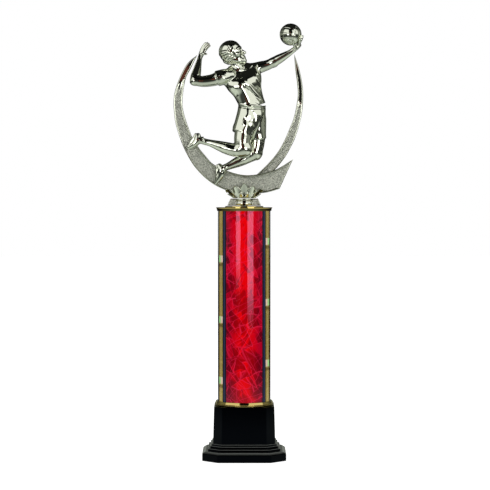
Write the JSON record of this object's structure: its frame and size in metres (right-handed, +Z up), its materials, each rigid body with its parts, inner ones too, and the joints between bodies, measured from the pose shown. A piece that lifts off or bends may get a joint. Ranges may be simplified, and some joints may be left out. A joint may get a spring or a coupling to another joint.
{
  "type": "column trophy",
  "caption": "Award trophy: stepped octagonal base, round foil-covered column and a plated crescent topper with a jumping volleyball player, clamped on one threaded rod.",
  "frame": {"origin": "on the column's axis, on the underside of the base felt, where the trophy stands", "axes": "+Z up the column, -Y towards the front that the player faces past, +X towards the ball"},
  "size_m": [0.1099, 0.0698, 0.3644],
  "materials": {
    "black_plastic": "gloss",
    "felt": "matte",
    "plaster": "matte",
    "steel": "satin",
    "brass": "satin",
    "tube_board": "matte",
    "black_foil": "gloss",
    "red_pearl": "gloss",
    "gold_foil": "satin",
    "gold_plate": "polished",
    "chrome_plate": "polished",
    "stippled_plate": "satin"
  },
  "bodies": {
    "base": {"base_shell": "black_plastic", "base_felt": "felt", "base_weight": "plaster", "base_washer": "steel", "threaded_rod": "steel"},
    "nut": {"base_nut": "steel"},
    "column": {"column_bottom_ring": "gold_plate", "column_core": "tube_board", "black_foil_sleeve": "black_foil", "red_pearl_panel_front": "red_pearl", "red_pearl_panel_back": "red_pearl", "gold_stripe_front_1": "gold_foil", "gold_stripe_front_2": "gold_foil", "gold_stripe_back_1": "gold_foil", "gold_stripe_back_2": "gold_foil", "column_top_cap": "gold_plate"},
    "topper": {"topper_foot": "stippled_plate", "topper_nut": "brass", "lotus_cup": "chrome_plate", "front_crescent": "stippled_plate", "rear_crescent": "stippled_plate", "player": "chrome_plate", "ball": "chrome_plate"}
  },
  "joints": [
    {"name": "base_nut_turn", "type": "hinge", "parent": "base", "child": "nut", "pos_m": [0, 0, 0.0365], "axis": [0, 0, 1], "continuous": true},
    {"name": "column_turn", "type": "hinge", "parent": "base", "child": "column", "pos_m": [0, 0, 0.128], "axis": [0, 0, 1], "continuous": true},
    {"name": "topper_turn", "type": "hinge", "parent": "base", "child": "topper", "pos_m": [0, 0, 0.2121], "axis": [0, 0, 1], "continuous": true}
  ]
}
